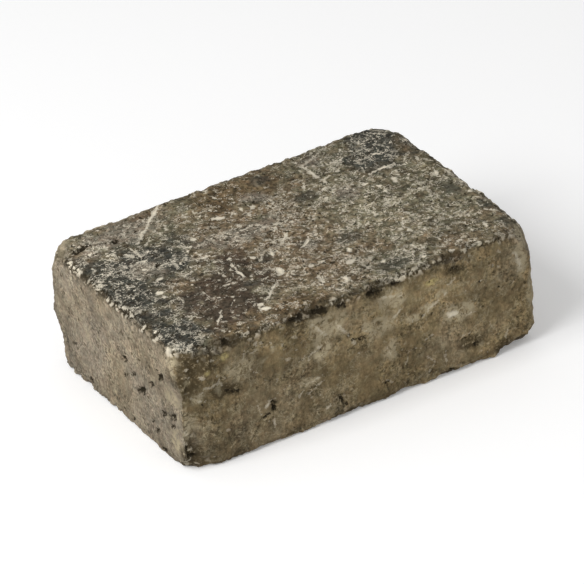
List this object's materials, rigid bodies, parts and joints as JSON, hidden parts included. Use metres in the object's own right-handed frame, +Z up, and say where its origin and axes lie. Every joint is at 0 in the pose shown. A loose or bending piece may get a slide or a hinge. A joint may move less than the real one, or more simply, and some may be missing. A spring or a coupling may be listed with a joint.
{
  "type": "concrete paver",
  "caption": "Tumbled rectangular concrete paver with worn arrises, rounded corners and small spalls, laid flat as one unit of a paved surface.",
  "frame": {"origin": "middle of the bed face, on the plane that the paver lies on", "axes": "+X along the length, +Y along the width from the front side to the back side, +Z up through the face that is walked on"},
  "size_m": [0.21, 0.14, 0.07],
  "materials": {
    "concrete": "weathered, tumbled, matt"
  },
  "bodies": {
    "root": {"paver": "concrete"}
  },
  "joints": []
}
